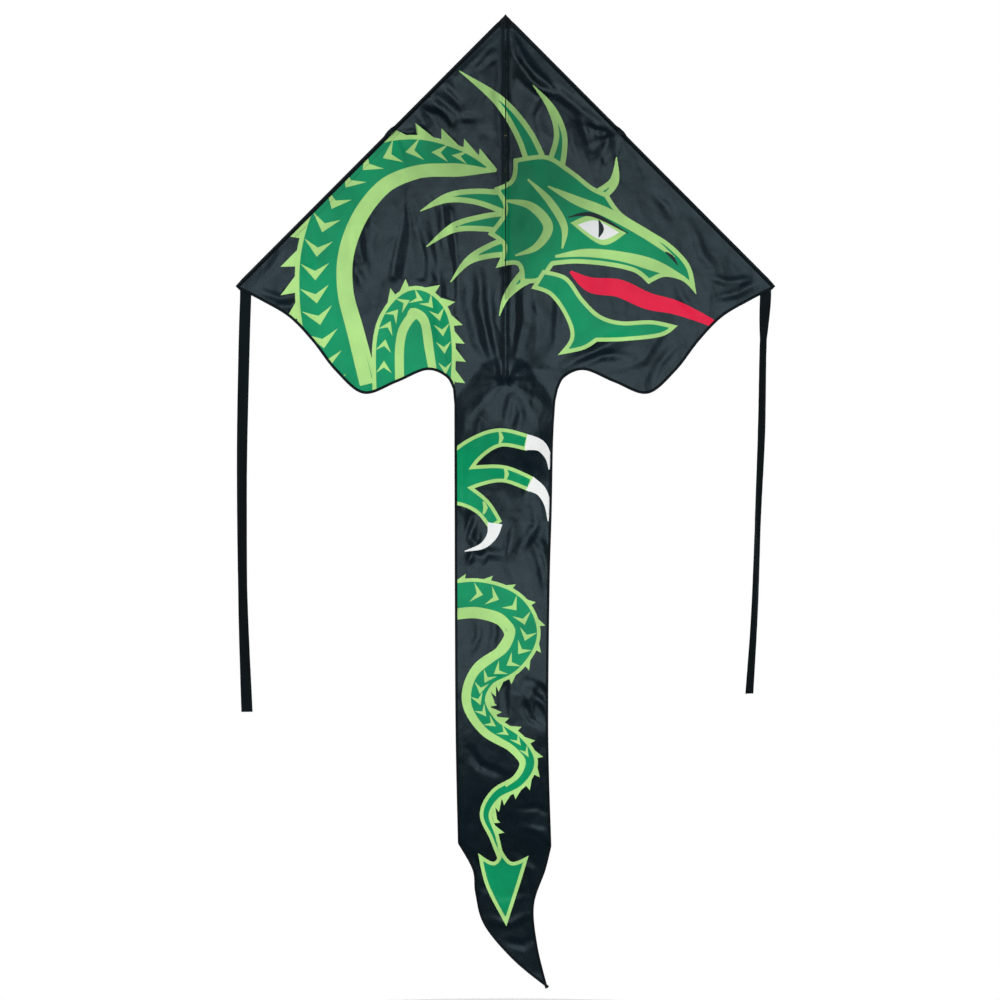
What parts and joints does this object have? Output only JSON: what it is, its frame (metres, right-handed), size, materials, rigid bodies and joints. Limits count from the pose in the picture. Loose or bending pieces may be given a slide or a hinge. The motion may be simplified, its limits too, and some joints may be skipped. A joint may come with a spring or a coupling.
{
  "type": "dragon kite",
  "caption": "Delta kite on fibreglass rods with a printed dragon, a keel with a line eyelet, a long flame-tipped cloth tail and wing-tip streamers.",
  "frame": {"origin": "centre of the hole in the keel's brass eyelet, where the flying line is clipped", "axes": "+Z along the spine towards the nose; -Y the printed face, which looks down at the flyer; +X towards the wing tip on the right of the printed face"},
  "size_m": [1.2148, 0.188, 2.195],
  "materials": {
    "sail_cloth": "satin",
    "binding_cloth": "satin",
    "streamer_cloth": "satin",
    "rod": "satin",
    "cap": "matte",
    "hook": "satin",
    "brass": "polished"
  },
  "bodies": {
    "keel": {"keel": "sail_cloth", "keel_hem": "binding_cloth", "keel_patch": "binding_cloth", "tow_eyelet": "brass", "tow_eyelet_washer": "brass"},
    "centre": {"spine_rod": "rod", "spine_nose_cap": "cap", "spine_tail_cap": "cap", "spine_sleeve": "sail_cloth", "nose_binding": "binding_cloth", "spine_end_patch": "sail_cloth"},
    "left_wing": {"left_sail_panel": "sail_cloth", "left_edge_sleeve": "binding_cloth", "left_edge_spar": "rod", "left_spar_nose_cap": "cap", "left_spar_tip_cap": "cap", "left_nose_patch": "binding_cloth", "left_wing_tip_patch": "binding_cloth", "left_trailing_hem": "binding_cloth"},
    "right_wing": {"right_sail_panel": "sail_cloth", "right_edge_sleeve": "binding_cloth", "right_edge_spar": "rod", "right_spar_nose_cap": "cap", "right_spar_tip_cap": "cap", "right_nose_patch": "binding_cloth", "right_wing_tip_patch": "binding_cloth", "right_trailing_hem": "binding_cloth"},
    "spreader": {"spreader_rod": "rod", "left_spreader_hook": "hook", "right_spreader_hook": "hook"},
    "tail": {"tail_panel": "sail_cloth", "tail_hem": "binding_cloth"},
    "left_streamer": {"left_streamer": "streamer_cloth"},
    "right_streamer": {"right_streamer": "streamer_cloth"}
  },
  "joints": [
    {"name": "keel_flop", "type": "hinge", "parent": "keel", "child": "centre", "pos_m": [0, 0.1456, 0], "axis": [0, 0, 1], "range_deg": [-75, 75]},
    {"name": "left_wing_fold", "type": "hinge", "parent": "centre", "child": "left_wing", "pos_m": [-0.008, 0.15, 0], "axis": [0, 0, -1], "range_deg": [-85, 0]},
    {"name": "right_wing_fold", "type": "hinge", "parent": "centre", "child": "right_wing", "pos_m": [0.008, 0.15, 0], "axis": [0, 0, -1], "range_deg": [0, 85]},
    {"name": "spreader_unhook", "type": "slide", "parent": "centre", "child": "spreader", "axis": [0, 1, 0], "range_m": [0, 0.25]},
    {"name": "tail_swing", "type": "hinge", "parent": "centre", "child": "tail", "pos_m": [0, 0.15, -0.555], "axis": [1, 0, 0], "range_deg": [-70, 70]},
    {"name": "left_streamer_swing", "type": "hinge", "parent": "left_wing", "child": "left_streamer", "pos_m": [-0.5855, 0.1516, -0.352], "axis": [-1, 0, 0], "range_deg": [-60, 60]},
    {"name": "right_streamer_swing", "type": "hinge", "parent": "right_wing", "child": "right_streamer", "pos_m": [0.5855, 0.1516, -0.352], "axis": [1, 0, 0], "range_deg": [-60, 60]}
  ]
}
